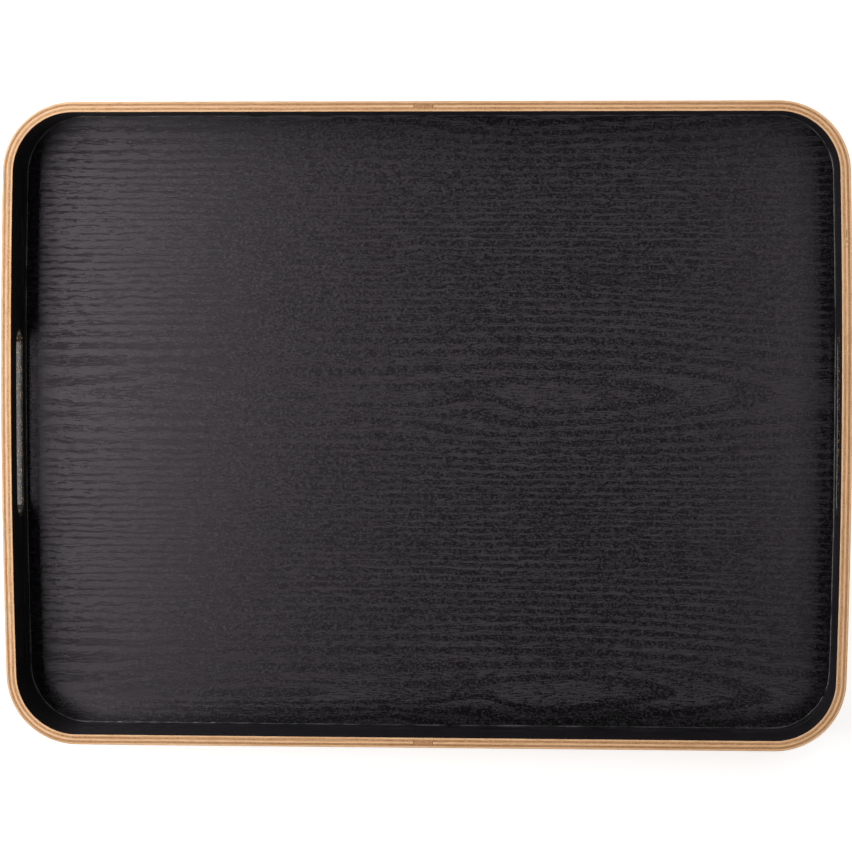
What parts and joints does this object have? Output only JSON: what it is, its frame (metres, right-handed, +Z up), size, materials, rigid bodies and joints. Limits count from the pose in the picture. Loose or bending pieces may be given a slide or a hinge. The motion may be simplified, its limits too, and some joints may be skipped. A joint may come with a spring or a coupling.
{
  "type": "serving tray",
  "caption": "Bent plywood serving tray with rounded corners, a natural layered rim, a black oak inside and a long round-ended hand hole through each short end.",
  "frame": {"origin": "centre of the resting edge, on the plane that the rim stands on", "axes": "+X along the length, towards the right short end, +Y across the tray towards the back long side, +Z up"},
  "size_m": [0.5, 0.38, 0.055],
  "materials": {
    "face_oak": "satin lacquered natural oak veneer",
    "core_oak": "sanded ply edge, long grain",
    "end_grain": "sanded ply edge, end grain",
    "black_oak": "black stained open-pore oak, satin lacquer"
  },
  "bodies": {
    "root": {"left_outer_face_ply": "face_oak", "left_outer_cross_ply": "end_grain", "left_core_ply": "core_oak", "left_inner_cross_ply": "end_grain", "left_inner_face_ply": "black_oak", "left_lip_ply": "face_oak", "right_outer_face_ply": "face_oak", "right_outer_cross_ply": "end_grain", "right_core_ply": "core_oak", "right_inner_cross_ply": "end_grain", "right_inner_face_ply": "black_oak", "right_lip_ply": "face_oak", "back_spline": "end_grain", "front_spline": "end_grain", "base_under_veneer": "face_oak", "base_lower_ply": "core_oak", "base_middle_ply": "end_grain", "base_upper_ply": "core_oak", "base_face_veneer": "black_oak"}
  },
  "joints": []
}
